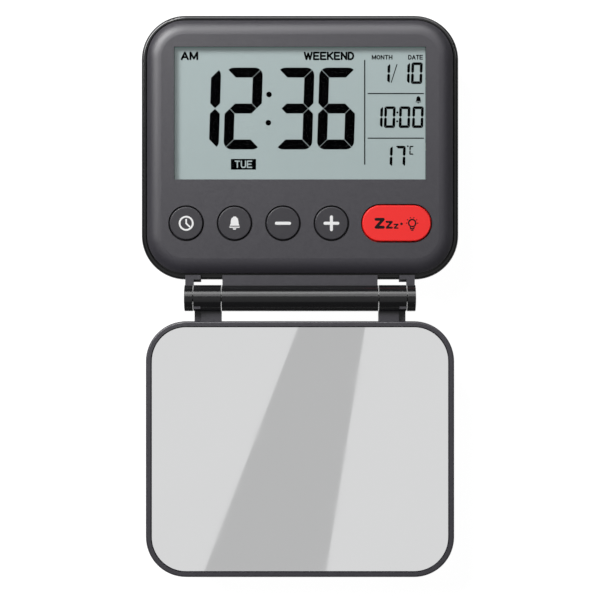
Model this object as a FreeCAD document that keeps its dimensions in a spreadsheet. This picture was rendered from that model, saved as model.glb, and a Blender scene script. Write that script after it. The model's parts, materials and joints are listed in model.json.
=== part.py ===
"""A folding travel alarm clock with a mirror in its lid, opened flat, as separate pieces.

Millimetres. The clock lies on its back: +Z points out of its face, +Y points to the top of the
display, and X runs along the lid hinge. Y = 0 is the hinge axis, and Z = 0 is the flat back.
"""

import math
import os
import re

import FreeCAD
import Part
import Sketcher

# Every size that can be set by itself, in millimetres and degrees.
SIZES = {
    # case
    "case_width": 90.0,
    "case_thickness": 20.0,
    "case_corner": 12.5,
    "rim_drop": 3.6,
    "draft_drop": 4.8,
    "ledge_drop": 6.8,
    "draft_angle": 9.0,
    "lip_width": 1.2,
    "lip_round": 0.8,
    "case_wall": 2.2,
    "back_floor": 1.8,
    "back_round": 1.5,
    # front bezel
    "bezel_inset": 1.8,
    "bezel_skirt": 1.6,
    "bezel_plate": 2.0,
    "dome_radius": 6.5,
    "dome_drop": 1.5,
    # lid and hinge
    "case_standoff": 5.3,
    "lid_standoff": 6.5,
    "closed_gap": 0.4,
    "lid_side": 1.55,
    "lid_short": 2.9,
    "lid_corner": 11.3,
    "lid_thickness": 4.5,
    "lid_round": 2.4,
    "lid_edge_round": 0.5,
    "mirror_rim": 1.4,
    "mirror_recess": 0.3,
    "mirror_thickness": 1.8,
    "mirror_bevel": 0.2,
    "barrel_radius": 3.7,
    "barrel_half": 21.9,
    "knuckle_width": 7.7,
    "knuckle_gap": 0.25,
    "ear_width": 2.3,
    "ear_foot": 2.0,
    "ear_step": 0.7,
    "lug_y": 2.3,
    "lug_width": 0.7,
    "arm_relief": 2.0,
    "web_drop": 1.1,
    "pin_radius": 1.0,
    "pin_end_gap": 0.4,
    # display
    "window_width": 71.0,
    "window_height": 37.4,
    "window_low": 33.45,
    "window_margin": 9.45,
    "window_lip": 0.8,
    "lens_border": 1.5,
    "lens_thickness": 1.1,
    "glue_thickness": 0.1,
    "glass_border": 1.0,
    "glass_thickness": 0.7,
    "polariser_thickness": 0.2,
    "glass_ledge": 2.5,
    "guide_thickness": 1.2,
    "frame_wall": 1.0,
    "stack_gap": 0.15,
    # buttons
    "button_y": 21.1,
    "button_first_x": -32.05,
    "button_pitch": 13.63,
    "button_radius": 4.7,
    "button_gap": 0.35,
    "button_flange": 0.9,
    "flange_thickness": 0.9,
    "button_travel": 0.7,
    "button_proud": 0.05,
    "snooze_x": 27.2,
    "snooze_width": 19.4,
    "snooze_height": 10.2,
    # circuit board
    "board_thickness": 1.0,
    "board_gap": 0.4,
    "board_screw_radius": 0.8,
    "board_post_radius": 1.6,
    "board_screw_bite": 1.8,
    "upper_post_x": 39.4,
    "upper_post_margin": 16.3,
    "lower_post_x": 31.5,
    "lower_post_y": 29.6,
    # case screws
    "screw_radius": 1.0,
    "screw_head_radius": 1.8,
    "screw_head_height": 1.3,
    "screw_bite": 3.0,
    "screw_seat": 5.0,
    "boss_radius": 2.0,
    "boss_wall": 1.2,
    "boss_drop": 2.2,
    "lower_boss_x": 37.3,
    "lower_boss_y": 13.2,
    "upper_boss_x": 30.5,
    "upper_boss_margin": 5.1,
    # battery bay
    "cell_radius": 5.25,
    "cell_length": 43.7,
    "nub_radius": 1.9,
    "nub_length": 0.8,
    "cell_pitch": 10.9,
    "cell_lift": 0.2,
    "bay_y": 22.6,
    "bay_wall": 1.2,
    "bay_roof": 1.0,
    "bay_clearance": 0.25,
    "rest_x": 15.0,
    "rest_gap": 0.15,
    "spring_room": 3.6,
    "spring_wire": 0.5,
    "spring_radius": 3.2,
    "spring_riser": 0.2,
    "plate_thickness": 0.3,
    "leaf_width": 8.4,
    "lead_slot": 3.0,
    "door_ledge": 1.0,
    "door_gap": 0.15,
    "door_thickness": 1.5,
    "door_recess": 0.15,
    "tab_width": 5.0,
    "tab_reach": 1.0,
    "tab_x": 15.0,
    "catch_width": 8.0,
    "catch_hook": 0.4,
    # parts on the board
    "led_length": 1.6,
    "led_width": 2.0,
    "led_height": 1.0,
    "led_pitch": 18.0,
    "chip_y": 44.0,
    "blob_radius": 6.0,
    "blob_height": 1.4,
    "crystal_x": 12.0,
    "crystal_radius": 1.0,
    "crystal_length": 6.0,
    "chip_length": 1.6,
    "chip_width": 0.8,
    "chip_height": 0.5,
    "chip_pitch": 4.8,
    # keypad
    "mat_width": 74.8,
    "mat_height": 11.8,
    "mat_thickness": 0.6,
    "dome_foot": 3.2,
    "dome_crest": 2.6,
    "pill_radius": 1.5,
    "pill_height": 0.5,
    # alarm sounder
    "lead_radius": 0.4,
    "sounder_y": 58.0,
    "sounder_radius": 10.0,
    "sounder_brass": 0.2,
    "sounder_height": 2.2,
    "ceramic_radius": 7.0,
    "rim_lead_x": 8.5,
    "middle_lead_x": 3.5,
    "grille_hole": 0.8,
    "grille_pitch": 4.0,
    # fits
    "fit_gap": 0.1,
    "running_gap": 0.03,
    "pressed_gap": 0.01,
}

# Places and sizes that follow from the ones above.
DERIVED = {
    "axis_z": "case_thickness + closed_gap / 2",
    "window_y": "window_low + window_height / 2",
    "case_end": "window_low + window_height + window_margin",
    "case_length": "case_end - case_standoff",
    "case_y": "case_standoff + case_length / 2",
    "lid_width": "case_width - 2 * lid_side",
    "lid_length": "case_length - lid_short",
    "lid_y": "0 - lid_standoff - lid_length / 2",
    "rim_z": "case_thickness - rim_drop",
    "draft_z": "case_thickness - draft_drop",
    "ledge_z": "case_thickness - ledge_drop",
    "lip_y": "case_standoff + lip_width",
    "upper_post_y": "case_end - upper_post_margin",
    "upper_boss_y": "case_end - upper_boss_margin",
    "boss_joint": "ledge_z - boss_drop",
    "screw_length": "boss_joint - screw_seat + screw_bite",
    "cavity_inset": "case_wall + (draft_z - ledge_z) * tan(draft_angle)",
    "plate_z": "case_thickness - bezel_plate",
    "dome_extra": "dome_radius - sqrt(dome_radius ^ 2 - (dome_radius - dome_drop) ^ 2)",
    "lens_z": "case_thickness - window_lip - glue_thickness - lens_thickness",
    "display_z": "lens_z - stack_gap",
    "front_glass_z": "display_z - polariser_thickness - glass_thickness",
    "rear_glass_z": "front_glass_z - glass_thickness",
    "guide_z": "rear_glass_z - polariser_thickness - guide_thickness",
    "glass_width": "window_width + 2 * glass_border",
    "glass_height": "window_height + 2 * glass_border",
    "board_z": "guide_z - stack_gap",
    "board_under": "board_z - board_thickness",
    "board_inset": "bezel_inset + bezel_skirt + board_gap",
    "web_z": "axis_z - barrel_radius",
    "web_top": "case_thickness - web_drop",
    "lid_face": "axis_z - closed_gap / 2",
    "lid_back": "lid_face - lid_thickness",
    "mirror_z": "lid_face - mirror_recess - mirror_thickness",
    "knuckle_x": "barrel_half + knuckle_gap",
    "knuckle_end": "knuckle_x + knuckle_width",
    "ear_x": "knuckle_end + knuckle_gap",
    "ear_end": "ear_x + ear_width",
    "flange_top": "plate_z - fit_gap",
    "dome_top": "flange_top - flange_thickness",
    "bay_length": "cell_length + nub_length + spring_room + 2 * plate_thickness",
    "bay_width": "cell_pitch + 2 * cell_radius + 2 * bay_clearance",
    "door_top": "door_recess + door_thickness",
    "cell_z": "door_top + cell_lift + cell_radius",
    "bay_top": "cell_z + cell_radius + cell_lift",
    "door_length": "bay_length + 2 * door_ledge",
    "door_width": "bay_width + 2 * door_ledge",
    "door_hinge_y": "bay_y + door_width / 2",
    "bay_frame": "door_ledge + door_gap + bay_wall",
    "sounder_z": "back_floor + sounder_height",
    "hook_z": "door_top + door_gap + door_thickness / 4",
    "catch_y": "bay_y - bay_width / 2 + fit_gap",
    "leaf_z": "cell_z - cell_radius",
    "pad_inset": "2 * mirror_rim + lid_corner / 2",
    "stack_height": "display_z - polariser_thickness - board_z",
    "lug_reach": "sqrt(barrel_radius ^ 2 - lug_y ^ 2)",
}

WORD = re.compile(r"[a-z][a-z_]*[a-z]")
SIDES = ((-1, "left"), (1, "right"))
QUARTER = math.pi / 2
FLAT = 1e-4
SPRING_TURNS = 4
CHIP_COLUMNS = 5
GRIP_LINES = 4
GRILLE_HOLES = 6

doc = FreeCAD.newDocument("travel_alarm_clock")
sheet = doc.addObject("Spreadsheet::Sheet", "Sizes")
for row, (name, value) in enumerate(SIZES.items(), 1):
    sheet.set(f"A{row}", name)
    sheet.set(f"B{row}", str(value))
    sheet.setAlias(f"B{row}", name)
doc.recompute()


def formula(text):
    """Writes a formula in size names the way the sheet's own expressions read it."""

    def expand(match):
        word = match.group()
        if word in DERIVED:
            return "(" + formula(DERIVED[word]) + ")"
        return "Sizes." + word if word in SIZES else word

    return WORD.sub(expand, str(text))


def number(text):
    return float(sheet.evalExpression(formula(text)))


def bind(item, path, text):
    item.setExpression(path, formula(text))


# ---------------------------------------------------------------- sketches and features


def new_body(label):
    body = doc.addObject("PartDesign::Body", label)
    body.Label = label
    return body


def new_sketch(body, name, at=(0, 0, 0), plane="XY_Plane"):
    """A sketch on one of the body's own planes; at is the place of its origin, in the plane's axes."""
    item = body.newObject("Sketcher::SketchObject", name)
    support = [f for f in body.Origin.OriginFeatures if f.Role == plane][0]
    item.AttachmentSupport = [(support, "")]
    item.MapMode = "FlatFace"
    for axis, place in zip("xyz", at):
        if place != 0:
            bind(item, f"AttachmentOffset.Base.{axis}", place)
    return item


def bound(item, kind, *places, size):
    """Adds a dimension to a sketch and ties it to a formula."""
    row = item.addConstraint(Sketcher.Constraint(kind, *places, number(size)))
    bind(item, f"Constraints[{row}]", size)


def draw_rectangle(item, width, height, corner=None):
    """A rectangle about the sketch's origin, with round corners if corner is given."""
    x = number(width) / 2
    y = number(height) / 2
    reach = number(corner) if corner else 0.0
    points = [(-x + reach, -y), (x - reach, -y), (x, -y + reach), (x, y - reach)]
    points += [(x - reach, y), (-x + reach, y), (-x, y - reach), (-x, -y + reach)]
    points = [FreeCAD.Vector(*p, 0) for p in points]
    lines = [item.addGeometry(Part.LineSegment(points[k], points[k + 1]), False) for k in (0, 2, 4, 6)]
    if corner:
        arcs = []
        for turn, (across, along) in enumerate(((1, -1), (1, 1), (-1, 1), (-1, -1))):
            centre = FreeCAD.Vector(across * (x - reach), along * (y - reach), 0)
            circle = Part.Circle(centre, FreeCAD.Vector(0, 0, 1), reach)
            start = (turn - 1) * QUARTER
            arcs.append(item.addGeometry(Part.ArcOfCircle(circle, start, start + QUARTER), False))
        for k in range(4):
            item.addConstraint(Sketcher.Constraint("Tangent", lines[k], 2, arcs[k], 1))
            item.addConstraint(Sketcher.Constraint("Tangent", arcs[k], 2, lines[(k + 1) % 4], 1))
        for k in range(1, 4):
            item.addConstraint(Sketcher.Constraint("Equal", arcs[0], arcs[k]))
        bound(item, "Radius", arcs[0], size=corner)
    else:
        for k in range(4):
            item.addConstraint(Sketcher.Constraint("Coincident", lines[k], 2, lines[(k + 1) % 4], 1))
    for k, kind in enumerate(("Horizontal", "Vertical", "Horizontal", "Vertical")):
        item.addConstraint(Sketcher.Constraint(kind, lines[k]))
    item.addConstraint(Sketcher.Constraint("Symmetric", lines[0], 1, lines[2], 1, -1, 1))
    bound(item, "DistanceX", lines[3], 1, lines[1], 1, size=width)
    bound(item, "DistanceY", lines[0], 1, lines[2], 1, size=height)


def draw_circle(item, radius):
    circle = Part.Circle(FreeCAD.Vector(0, 0, 0), FreeCAD.Vector(0, 0, 1), number(radius))
    ring = item.addGeometry(circle, False)
    item.addConstraint(Sketcher.Constraint("Coincident", ring, 3, -1, 1))
    bound(item, "Radius", ring, size=radius)


def draw_pill(item, width, height):
    """A rectangle with fully round ends, about the sketch's origin."""
    radius = number(height) / 2
    reach = number(width) / 2 - radius
    ends = []
    for side, start in ((1, -QUARTER), (-1, QUARTER)):
        circle = Part.Circle(FreeCAD.Vector(side * reach, 0, 0), FreeCAD.Vector(0, 0, 1), radius)
        ends.append(item.addGeometry(Part.ArcOfCircle(circle, start, start + math.pi), False))
    rows = []
    for side in (1, -1):
        start = FreeCAD.Vector(side * reach, side * radius, 0)
        end = FreeCAD.Vector(-side * reach, side * radius, 0)
        rows.append(item.addGeometry(Part.LineSegment(start, end), False))
    item.addConstraint(Sketcher.Constraint("Tangent", ends[0], 2, rows[0], 1))
    item.addConstraint(Sketcher.Constraint("Tangent", rows[0], 2, ends[1], 1))
    item.addConstraint(Sketcher.Constraint("Tangent", ends[1], 2, rows[1], 1))
    item.addConstraint(Sketcher.Constraint("Tangent", rows[1], 2, ends[0], 1))
    item.addConstraint(Sketcher.Constraint("Equal", ends[0], ends[1]))
    item.addConstraint(Sketcher.Constraint("Horizontal", rows[0]))
    item.addConstraint(Sketcher.Constraint("Symmetric", ends[0], 3, ends[1], 3, -1, 1))
    bound(item, "Radius", ends[0], size=f"({height}) / 2")
    bound(item, "DistanceX", ends[1], 3, ends[0], 3, size=f"({width}) - ({height})")


def extrude(body, kind, profile, length, down=False, taper=None, both=False):
    item = body.newObject(kind, profile.Name + "_" + kind.split("::")[1].lower())
    item.Profile = profile
    bind(item, "Length", length)
    item.Reversed = down
    if both:
        item.SideType = "Symmetric"
    if taper:
        bind(item, "TaperAngle", taper)
    profile.Visibility = False
    return item


def pad(body, profile, length, **options):
    return extrude(body, "PartDesign::Pad", profile, length, **options)


def pocket_down(body, profile, length, **options):
    return extrude(body, "PartDesign::Pocket", profile, length, **options)


def pocket_up(body, profile, length, **options):
    return extrude(body, "PartDesign::Pocket", profile, length, down=True, **options)


def block(body, name, centre, width, height, base, length, corner=None, **options):
    """A rounded rectangle padded up from base."""
    item = new_sketch(body, name, at=(*centre, base))
    draw_rectangle(item, width, height, corner)
    return pad(body, item, length, **options)


def hollow(body, name, centre, width, height, base, length, corner=None, up=False, **options):
    """A rounded rectangle cut from base, downwards unless up is set."""
    item = new_sketch(body, name, at=(*centre, base))
    draw_rectangle(item, width, height, corner)
    return (pocket_up if up else pocket_down)(body, item, length, **options)


def post(body, name, centre, radius, base, length, **options):
    item = new_sketch(body, name, at=(*centre, base))
    draw_circle(item, radius)
    return pad(body, item, length, **options)


def hole(body, name, centre, radius, base, length, up=False, **options):
    item = new_sketch(body, name, at=(*centre, base))
    draw_circle(item, radius)
    return (pocket_up if up else pocket_down)(body, item, length, **options)


def rod(body, name, radius, start, length, cut=False):
    """A round bar, or a bore, along the hinge axis from X = start."""
    item = new_sketch(body, name, at=(0, "axis_z", start), plane="YZ_Plane")
    draw_circle(item, radius)
    return pocket_up(body, item, length) if cut else pad(body, item, length)


def edges(feature, test):
    """Names of the feature's edges for which test(bounding box) is true."""
    doc.recompute()
    return [f"Edge{k}" for k, edge in enumerate(feature.Shape.Edges, 1) if test(edge.BoundBox)]


def level(height):
    """True of an edge that lies flat at this height."""
    z = number(height)
    return lambda box: abs(box.ZMin - z) < FLAT and abs(box.ZMax - z) < FLAT


def soften(body, feature, names, radius, kind="PartDesign::Fillet"):
    item = body.newObject(kind, feature.Name + "_" + kind.split("::")[1].lower())
    item.Base = (feature, names)
    bind(item, "Radius" if kind.endswith("Fillet") else "Size", radius)
    return item


def inset(width, amount):
    return f"({width}) - 2 * ({amount})"


# ---------------------------------------------------------------- simple solids


def cuboid(name, centre, low_z, sizes):
    """A box about centre in X and Y, from low_z up."""
    item = doc.addObject("Part::Box", name)
    for prop, size in zip(("Length", "Width", "Height"), sizes):
        bind(item, prop, size)
    bind(item, "Placement.Base.x", f"({centre[0]}) - ({sizes[0]}) / 2")
    bind(item, "Placement.Base.y", f"({centre[1]}) - ({sizes[1]}) / 2")
    bind(item, "Placement.Base.z", low_z)
    return item


def cylinder(name, centre, low_z, radius, height, top_radius=None):
    item = doc.addObject("Part::Cone" if top_radius else "Part::Cylinder", name)
    if top_radius:
        bind(item, "Radius1", radius)
        bind(item, "Radius2", top_radius)
    else:
        bind(item, "Radius", radius)
    bind(item, "Height", height)
    for axis, place in zip("xyz", (*centre, low_z)):
        bind(item, f"Placement.Base.{axis}", place)
    return item


def bar(name, start, radius, length):
    """A cylinder along X from the point start."""
    item = doc.addObject("Part::Cylinder", name)
    bind(item, "Radius", radius)
    bind(item, "Height", length)
    item.Placement = FreeCAD.Placement(FreeCAD.Vector(), FreeCAD.Rotation(FreeCAD.Vector(0, 1, 0), 90))
    for axis, place in zip("xyz", start):
        bind(item, f"Placement.Base.{axis}", place)
    return item


def joined(label, parts, kind="Part::MultiFuse"):
    item = doc.addObject(kind, label)
    if kind == "Part::Compound":
        item.Links = parts
    else:
        item.Shapes = parts
    item.Label = label
    return item


def trimmed(label, base, tool):
    item = doc.addObject("Part::Cut", label)
    item.Base = base
    item.Tool = tool
    item.Label = label
    return item


# ---------------------------------------------------------------- case


def corner_places(x_name, y_name):
    return [(f"{side} * {x_name}", y_name, f"{word}_{y_name}") for side, word in SIDES]


def boss_places():
    return corner_places("lower_boss_x", "lower_boss_y") + corner_places("upper_boss_x", "upper_boss_y")


def post_places():
    return corner_places("lower_post_x", "lower_post_y") + corner_places("upper_post_x", "upper_post_y")


def case_outline(amount):
    """Width, height and corner of the case outline, moved in by amount."""
    return inset("case_width", amount), inset("case_length", amount), f"case_corner - ({amount})"


def rear_case():
    body = new_body("rear_case")
    centre = ("0", "case_y")
    width, height, corner = case_outline("0")
    band = block(body, "rear_band", centre, width, height, "draft_z", "rim_z - draft_z", corner)
    soften(body, band, edges(band, level("rim_z")), "lip_round")
    base = "draft_z"
    taper = "0 - draft_angle"
    flank = block(body, "rear_flank", centre, width, height, base, base, corner, down=True, taper=taper)
    soften(body, flank, edges(flank, level("0")), "back_round")
    width, height, corner = case_outline("lip_width")
    hollow(body, "rear_seat", centre, width, height, "rim_z", "rim_z - ledge_z", corner)
    width, height, corner = case_outline("cavity_inset")
    depth = "ledge_z - back_floor"
    hollow(body, "rear_cavity", centre, width, height, "ledge_z", depth, corner, taper="0 - draft_angle")
    battery_bay(body)
    screw_bosses(body)
    sounder_seat(body)
    hinge_barrel(body)


def battery_bay(body):
    """The box for the cells with rests for the board, the ledge for the door, the slots for its catch."""
    centre = ("0", "bay_y")
    outer = ("bay_length + 2 * bay_frame", "bay_width + 2 * bay_frame")
    block(body, "bay_ring", centre, *outer, "back_floor / 2", "door_top + bay_wall - back_floor / 2")
    walls = ("bay_length + 2 * bay_wall", "bay_width + 2 * bay_wall")
    block(body, "bay_walls", centre, *walls, "back_floor / 2", "bay_top + bay_roof - back_floor / 2")
    for side, word in SIDES:
        for row in (-1, 1):
            place = (f"{side} * rest_x", f"bay_y + {row} * cell_pitch / 2")
            reach = "board_under - rest_gap - bay_top"
            post(body, f"board_rest_{word}_{row + 2}", place, "board_post_radius", "bay_top", reach)
    hollow(body, "bay_room", centre, "bay_length", "bay_width", "0", "bay_top", up=True)
    recess = ("door_length + 2 * door_gap", "door_width + 2 * door_gap")
    hollow(body, "door_seat", centre, *recess, "0", "door_top", corner="door_ledge", up=True)
    for side, word in SIDES:
        place = (f"{side} * tab_x", "door_hinge_y + (tab_reach - door_ledge) / 2")
        size = ("tab_width + 4 * door_gap", "tab_reach + door_ledge + 4 * door_gap")
        low = "door_recess + door_thickness / 2 - door_gap"
        hollow(body, f"tab_slot_{word}", place, *size, low, "2 * door_thickness", up=True)
    place = ("0", "bay_y - bay_width / 2")
    size = ("catch_width + 4 * door_gap", "2 * (catch_hook + door_gap)")
    low = "door_top + door_thickness / 4"
    hollow(body, "catch_slot", place, *size, low, "door_thickness / 2 + 2 * door_gap", up=True)
    hollow(body, "catch_notch", place, "catch_width", "2 * door_thickness", "0", "back_floor / 2", up=True)
    for row in (-1, 1):
        place = ("plate_thickness / 2 - bay_length / 2", f"bay_y + {row} * cell_pitch / 2")
        size = ("2 * plate_thickness", "cell_radius")
        hollow(body, f"lead_slot_{row + 2}", place, *size, "bay_top + 2 * bay_roof", "lead_slot")


def screw_bosses(body):
    """Four posts that carry the case screws, each bored from the back with a seat for the head."""
    base = "back_floor / 2"
    for x, y, word in boss_places():
        post(body, f"boss_{word}", (x, y), "screw_head_radius + boss_wall", base, f"boss_joint - {base}")
        hole(body, f"head_{word}", (x, y), "screw_head_radius + 2 * fit_gap", "0", "screw_seat", up=True)
        hole(body, f"shank_{word}", (x, y), "screw_radius + fit_gap", "0", "boss_joint", up=True)


def sounder_seat(body):
    """A ring that holds the sounder disc over seven holes in the back."""
    centre = ("0", "sounder_y")
    base = "back_floor / 2"
    post(body, "sounder_ring", centre, "sounder_radius + bay_wall / 2", base, f"sounder_z - {base}")
    hole(body, "sounder_room", centre, "sounder_radius - bay_wall", "sounder_z", "sounder_height")
    hole(body, "grille_middle", centre, "grille_hole", "0", "back_floor", up=True)
    for turn in range(GRILLE_HOLES):
        angle = 360 * turn / GRILLE_HOLES
        place = (f"grille_pitch * cos({angle})", f"sounder_y + grille_pitch * sin({angle})")
        hole(body, f"grille_{turn}", place, "grille_hole", "0", "back_floor", up=True)


def hinge_barrel(body):
    """The middle barrel with its web over the rim, and an ear with a foot at each end."""
    length = "2 * barrel_half"
    rod(body, "barrel", "barrel_radius", "0 - barrel_half", length)
    block(body, "web", ("0", "lip_y / 2"), length, "lip_y", "web_z", "web_top - web_z")
    root = ("0", "case_standoff")
    block(body, "web_root", root, length, "2 * lip_width", "draft_z", "web_top - draft_z")
    for side, word in SIDES:
        start = "ear_x" if side > 0 else "0 - ear_end"
        rod(body, f"ear_{word}", "barrel_radius", start, "ear_width")
        arm = (f"{side} * (ear_x + ear_width / 2)", "lip_y / 2")
        block(body, f"ear_arm_{word}", arm, "ear_width", "lip_y", "web_z", "web_top - web_z")
        foot = (f"{side} * (ear_end - (ear_width + ear_foot) / 2)", "case_standoff + lip_width / 2")
        size = ("ear_width + ear_foot", "lip_width")
        block(body, f"ear_foot_{word}", foot, *size, "draft_z", "web_top - draft_z")
        step = (f"{side} * (ear_x - ear_foot / 2)", "case_standoff + (lip_width - ear_step) / 2")
        size = ("ear_foot", "lip_width + ear_step")
        block(body, f"ear_step_{word}", step, *size, "draft_z", "rim_z - draft_z")
    length = "2 * (ear_end - pin_end_gap)"
    rod(body, "pin_bore", "pin_radius + pressed_gap", "pin_end_gap - ear_end", length, cut=True)


def front_bezel():
    body = new_body("front_bezel")
    centre = ("0", "case_y")
    width, height, corner = case_outline("bezel_inset - dome_extra")
    dome = block(body, "dome", centre, width, height, "ledge_z", "ledge_drop", corner)
    soften(body, dome, edges(dome, level("case_thickness")), "dome_radius")
    trim = new_sketch(body, "dome_trim", at=(*centre, "case_thickness"))
    draw_rectangle(trim, "2 * case_width", "2 * case_length")
    draw_rectangle(trim, *case_outline("bezel_inset"))
    pocket_down(body, trim, "ledge_drop")
    width, height, corner = case_outline("bezel_inset + bezel_skirt")
    depth = "plate_z - ledge_z"
    room = hollow(body, "bezel_room", centre, width, height, "ledge_z", depth, corner, up=True)
    soften(body, room, edges(room, level("plate_z")), "bezel_plate / 2")
    pilot = "screw_radius - pressed_gap"
    for x, y, word in boss_places():
        post(body, f"boss_{word}", (x, y), "boss_radius", "boss_joint", "plate_z - boss_joint")
        hole(body, f"pilot_{word}", (x, y), pilot, "boss_joint", "screw_seat", up=True)
    pilot = "board_screw_radius - pressed_gap"
    for x, y, word in post_places():
        post(body, f"post_{word}", (x, y), "board_post_radius", "board_z", "plate_z - board_z")
        hole(body, f"thread_{word}", (x, y), pilot, "board_z", "bezel_plate", up=True)
    centre = ("0", "window_y")
    hollow(body, "window", centre, "window_width", "window_height", "case_thickness", "bezel_plate")
    seat = ("window_width + 2 * lens_border", "window_height + 2 * lens_border")
    hollow(body, "lens_seat", centre, *seat, "plate_z", "bezel_plate - window_lip", up=True)
    for x, word in round_buttons():
        place = (x, "button_y")
        hole(body, f"{word}_hole", place, "button_radius + button_gap", "case_thickness", "bezel_plate")
    opening = new_sketch(body, "snooze_hole", at=("snooze_x", "button_y", "case_thickness"))
    draw_pill(opening, "snooze_width + 2 * button_gap", "snooze_height + 2 * button_gap")
    pocket_down(body, opening, "bezel_plate")


def round_buttons():
    names = ("clock_set_button", "alarm_set_button", "minus_button", "plus_button")
    return [(f"button_first_x + {k} * button_pitch", name) for k, name in enumerate(names)]


# ---------------------------------------------------------------- display


def display():
    """The lens, the glass sandwich with its frame and light, and the strip that joins it to the board."""
    centre = ("0", "window_y")
    seat = ("window_width + 2 * (lens_border - fit_gap)", "window_height + 2 * (lens_border - fit_gap)")
    cuboid("display_lens", centre, "lens_z", (*seat, "lens_thickness"))
    outer = cuboid("glue_sheet", centre, "lens_z + lens_thickness", (*seat, "glue_thickness"))
    size = ("window_width + 2 * fit_gap", "window_height + 2 * fit_gap", "3 * glue_thickness")
    inner = cuboid("glue_window", centre, "lens_z + lens_thickness - glue_thickness", size)
    trimmed("lens_adhesive", outer, inner)
    glass = ("glass_width", "glass_height", "glass_thickness")
    thin = ("glass_width - 2 * glass_border", "glass_height - 2 * glass_border", "polariser_thickness")
    cuboid("front_polariser", centre, "display_z - polariser_thickness", thin)
    cuboid("lcd_front_glass", centre, "front_glass_z", glass)
    upper = ("0", "window_y + glass_ledge / 2")
    short = ("glass_width", "glass_height - glass_ledge", "glass_thickness")
    cuboid("lcd_rear_glass", upper, "rear_glass_z", short)
    thin = ("glass_width - 2 * glass_border", "glass_height - glass_ledge", "polariser_thickness")
    cuboid("rear_polariser", upper, "rear_glass_z - polariser_thickness", thin)
    light = ("0 - led_length / 2", "window_y + glass_ledge / 2")
    size = ("glass_width - led_length", "glass_height - glass_ledge", "guide_thickness")
    cuboid("light_guide", light, "guide_z", size)
    lamps = []
    for row in (-1, 1):
        place = ("(glass_width - led_length) / 2 + fit_gap", f"window_y + {row} * led_pitch / 2")
        size = ("led_length - 2 * fit_gap", "led_width", "guide_z - board_z + led_height")
        lamps.append(cuboid(f"lamp_{row + 2}", place, "board_z", size))
    joined("backlight_leds", lamps, "Part::Compound")
    outside = ("glass_width + 2 * (fit_gap + frame_wall)", "glass_height + 2 * (fit_gap + frame_wall)")
    wall = cuboid("frame_block", centre, "board_z", (*outside, "stack_height"))
    inside = ("glass_width + 2 * fit_gap", "glass_height + 2 * fit_gap", "case_thickness")
    trimmed("lcd_frame", wall, cuboid("frame_room", centre, "board_under", inside))
    strip = ("0", "window_y - glass_height / 2 + glass_ledge / 2 - fit_gap")
    size = ("window_width", "glass_ledge - 4 * fit_gap", "front_glass_z - board_z")
    cuboid("zebra_strip", strip, "board_z", size)


# ---------------------------------------------------------------- circuit board


def main_board():
    body = new_body("main_board")
    width, height, corner = case_outline("board_inset")
    block(body, "board", ("0", "case_y"), width, height, "board_under", "board_thickness", corner)
    for x, y, word in boss_places():
        hole(body, f"boss_way_{word}", (x, y), "boss_radius + board_gap", "board_z", "board_thickness")
    shank = "board_screw_radius + fit_gap"
    for x, y, word in post_places():
        hole(body, f"screw_way_{word}", (x, y), shank, "board_z", "board_thickness")


def board_parts():
    """What is soldered under the board: the chip in its resin, the crystal, the sensor, small parts."""
    low = "board_under - blob_height"
    foot = "blob_radius - blob_height"
    cylinder("controller_blob", ("0", "chip_y"), low, foot, "blob_height", top_radius="blob_radius")
    start = ("crystal_x", "chip_y", "board_under - crystal_radius")
    bar("watch_crystal", start, "crystal_radius", "crystal_length")
    low = "board_under - chip_height"
    chip = ("chip_length", "chip_width", "chip_height")
    cuboid("temperature_sensor", ("0 - crystal_x - crystal_length", "chip_y"), low, chip)
    chips = []
    for column in range(CHIP_COLUMNS):
        x = f"({column} - {CHIP_COLUMNS - 1} / 2) * chip_pitch"
        for row in (-1, 1):
            place = (x, f"chip_y + {row} * (blob_radius + 2 * chip_width)")
            chips.append(cuboid(f"chip_{column}_{row + 2}", place, low, chip))
    joined("board_chips", chips, "Part::Compound")


def keypad():
    """A silicone sheet with a hollow dome under each button, and a carbon pill in each dome."""
    domes = [cuboid("mat_base", ("0", "button_y"), "board_z", ("mat_width", "mat_height", "mat_thickness"))]
    rooms = []
    pills = []
    low = "board_z + mat_thickness"
    rise = f"dome_top - ({low})"
    room_radius = "pill_radius + mat_thickness"
    room_height = "mat_thickness + button_travel + pill_height"
    pill_z = "board_z + button_travel"
    for x, word in (*round_buttons(), ("snooze_x", "snooze_button")):
        centre = (x, "button_y")
        domes.append(cylinder(f"{word}_dome", centre, low, "dome_foot", rise, "dome_crest"))
        rooms.append(cylinder(f"{word}_room", centre, "board_z - mat_thickness", room_radius, room_height))
        pills.append(cylinder(f"{word}_pill", centre, pill_z, "pill_radius", "pill_height"))
    solid = joined("mat_solid", domes)
    trimmed("keypad_membrane", solid, joined("mat_rooms", rooms, "Part::Compound"))
    joined("key_contact_pills", pills, "Part::Compound")


# ---------------------------------------------------------------- buttons


def button_body(label, x, draw):
    """A cap that stands level with the bezel, on a flange that holds it in from behind."""
    body = new_body(label)
    flange = new_sketch(body, f"{label}_flange", at=(x, "button_y", "dome_top"))
    draw(flange, "button_gap + button_flange")
    pad(body, flange, "flange_thickness")
    cap = new_sketch(body, f"{label}_cap", at=(x, "button_y", "dome_top"))
    draw(cap, "0")
    top = pad(body, cap, "case_thickness + button_proud - dome_top")
    soften(body, top, edges(top, level("case_thickness + button_proud")), "button_gap")


def buttons():
    def round_outline(item, grow):
        draw_circle(item, f"button_radius + {grow}")

    def pill_outline(item, grow):
        draw_pill(item, f"snooze_width + 2 * ({grow})", f"snooze_height + 2 * ({grow})")

    for x, word in round_buttons():
        button_body(word, x, round_outline)
    button_body("snooze_button", "snooze_x", pill_outline)


# ---------------------------------------------------------------- batteries


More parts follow.
